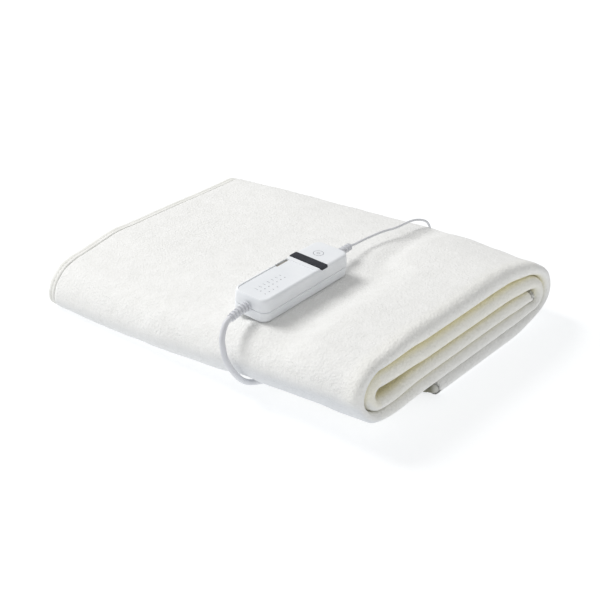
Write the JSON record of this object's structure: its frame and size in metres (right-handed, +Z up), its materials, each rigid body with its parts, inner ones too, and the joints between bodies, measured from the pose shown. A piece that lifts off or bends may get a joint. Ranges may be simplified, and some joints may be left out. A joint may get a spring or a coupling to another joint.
{
  "type": "electric underblanket",
  "caption": "Electric underblanket of thick white fleece, rolled flat into a bundle, with a slim handheld controller on top, a mains cord with plug and a thin lead.",
  "frame": {"origin": "middle of the bundle's base on the surface it lies on", "axes": "+X towards the folded end, +Y away from the near long side, towards the coil, +Z up"},
  "size_m": [0.4203, 0.4232, 0.0982],
  "materials": {
    "fleece": "felted fleece, matt, fine mottled nap",
    "tape": "woven binding tape, matt, stitched",
    "shell": "satin moulded plastic",
    "window": "glossy dark display window",
    "cord": "satin flexible plastic",
    "tie": "matt plastic strap",
    "pin": "nickel-plated metal"
  },
  "bodies": {
    "root": {"blanket": "fleece", "edge_tape": "tape", "controller_base": "shell", "controller_top": "shell", "display_window": "window", "mains_relief": "cord", "lead_relief": "cord", "mains_cord": "cord", "mains_coil": "cord", "coil_tie": "tie", "mains_tail": "cord", "plug_relief": "cord", "plug_body": "shell", "plug_pin_1": "pin", "plug_pin_2": "pin", "lead": "cord"}
  },
  "joints": []
}
